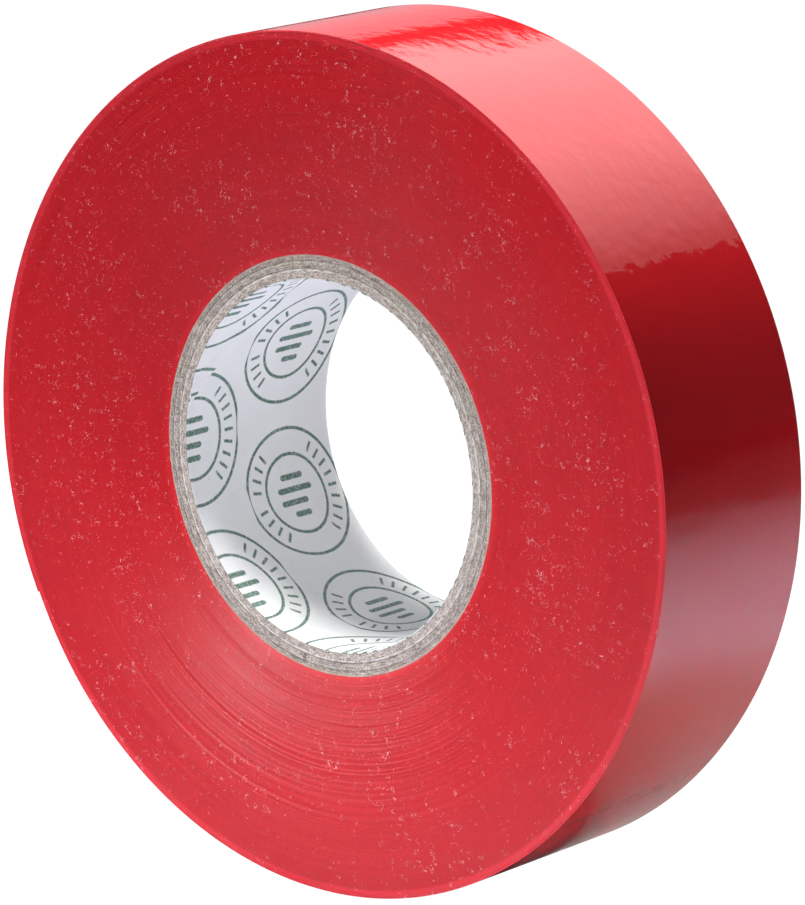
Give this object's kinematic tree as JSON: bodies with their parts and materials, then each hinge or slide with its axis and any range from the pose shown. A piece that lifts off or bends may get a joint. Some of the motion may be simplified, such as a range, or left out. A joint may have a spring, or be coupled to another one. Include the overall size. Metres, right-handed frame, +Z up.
{
  "type": "electrical tape roll",
  "caption": "Roll of red vinyl electrical tape wound on a paper-lined greyboard core, with a free end that peels from the rim.",
  "frame": {"origin": "on the roll's axis, midway between the front rim and the back end of the core", "axes": "+Y along the roll's axis, away from the front face; +Z up as the roll stands on its rim"},
  "size_m": [0.0779, 0.0202, 0.0779],
  "materials": {
    "red_vinyl": "smooth glossy film, satin where its cut edges make the faces",
    "greyboard": "rough cut fibre",
    "liner_paper": "matte white with green print"
  },
  "bodies": {
    "roll": {"core_liner": "liner_paper", "core_ply_inner": "greyboard", "core_ply_middle": "greyboard", "core_ply_outer": "greyboard", "tape_windings": "red_vinyl", "tape_outer_turn": "red_vinyl"},
    "end_root": {"tape_end_root": "red_vinyl"},
    "end_middle": {"tape_end_middle": "red_vinyl"},
    "end_tip": {"tape_end_tip": "red_vinyl"}
  },
  "joints": [
    {"name": "peel_root", "type": "hinge", "parent": "roll", "child": "end_root", "pos_m": [-0.0343, 0, 0.01819], "axis": [0, 1, 0], "range_deg": [0, 35]},
    {"name": "peel_middle", "type": "hinge", "parent": "end_root", "child": "end_middle", "pos_m": [-0.03826, 0, 0.0066], "axis": [0, 1, 0], "range_deg": [0, 35]},
    {"name": "peel_tip", "type": "hinge", "parent": "end_middle", "child": "end_tip", "pos_m": [-0.03841, 0, -0.00565], "axis": [0, 1, 0], "range_deg": [0, 35]}
  ],
  "couplings": [
    {"joint": "peel_middle", "follows": "peel_root", "ratio": 1},
    {"joint": "peel_tip", "follows": "peel_root", "ratio": 1}
  ]
}
